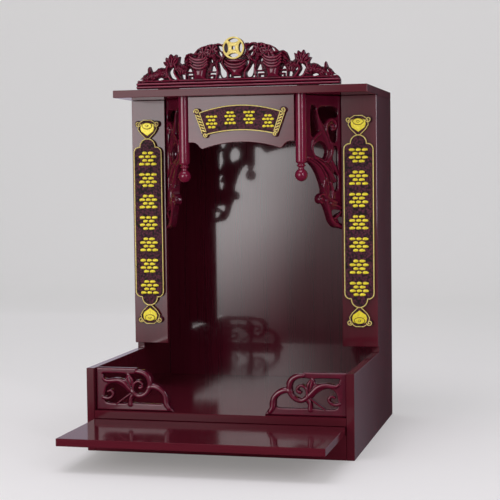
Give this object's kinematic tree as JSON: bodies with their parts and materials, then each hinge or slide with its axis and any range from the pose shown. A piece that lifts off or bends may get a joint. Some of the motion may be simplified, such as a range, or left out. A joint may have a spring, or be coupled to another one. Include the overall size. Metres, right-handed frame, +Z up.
{
  "type": "household altar cabinet",
  "caption": "Lacquered wooden altar cabinet with a walled offering tray, pull-out shelf, recessed shrine, carved openwork brackets, couplet plaques and a coin crest.",
  "frame": {"origin": "centre of the bounding box in plan, on the surface the cabinet stands on, with the shelf pulled out", "axes": "+Z up, -Y towards the front, +X to the right seen from the front"},
  "size_m": [0.52, 0.695, 0.7983],
  "materials": {
    "lacquered_board": "gloss maroon lacquer",
    "back_board": "gloss dark maroon lacquer",
    "carved_wood": "gloss burgundy lacquer",
    "plaque": "stippled dark ground with gilded rims and strokes"
  },
  "bodies": {
    "cabinet": {"left_side_panel": "lacquered_board", "right_side_panel": "lacquered_board", "back_panel": "back_board", "top_board": "lacquered_board", "floor_board": "lacquered_board", "base_rail": "lacquered_board", "left_shelf_runner": "lacquered_board", "right_shelf_runner": "lacquered_board", "left_pillar_board": "lacquered_board", "right_pillar_board": "lacquered_board", "left_couplet_plaque": "plaque", "right_couplet_plaque": "plaque", "header_board": "lacquered_board", "header_plaque": "plaque", "left_post": "carved_wood", "right_post": "carved_wood", "left_carved_bracket": "carved_wood", "right_carved_bracket": "carved_wood", "left_corner_bracket": "carved_wood", "right_corner_bracket": "carved_wood", "crest": "carved_wood"},
    "shelf": {"pull_out_shelf": "lacquered_board"}
  },
  "joints": [
    {"name": "shelf_slide", "type": "slide", "parent": "cabinet", "child": "shelf", "axis": [0, 1, 0], "range_m": [0, 0.2]}
  ]
}
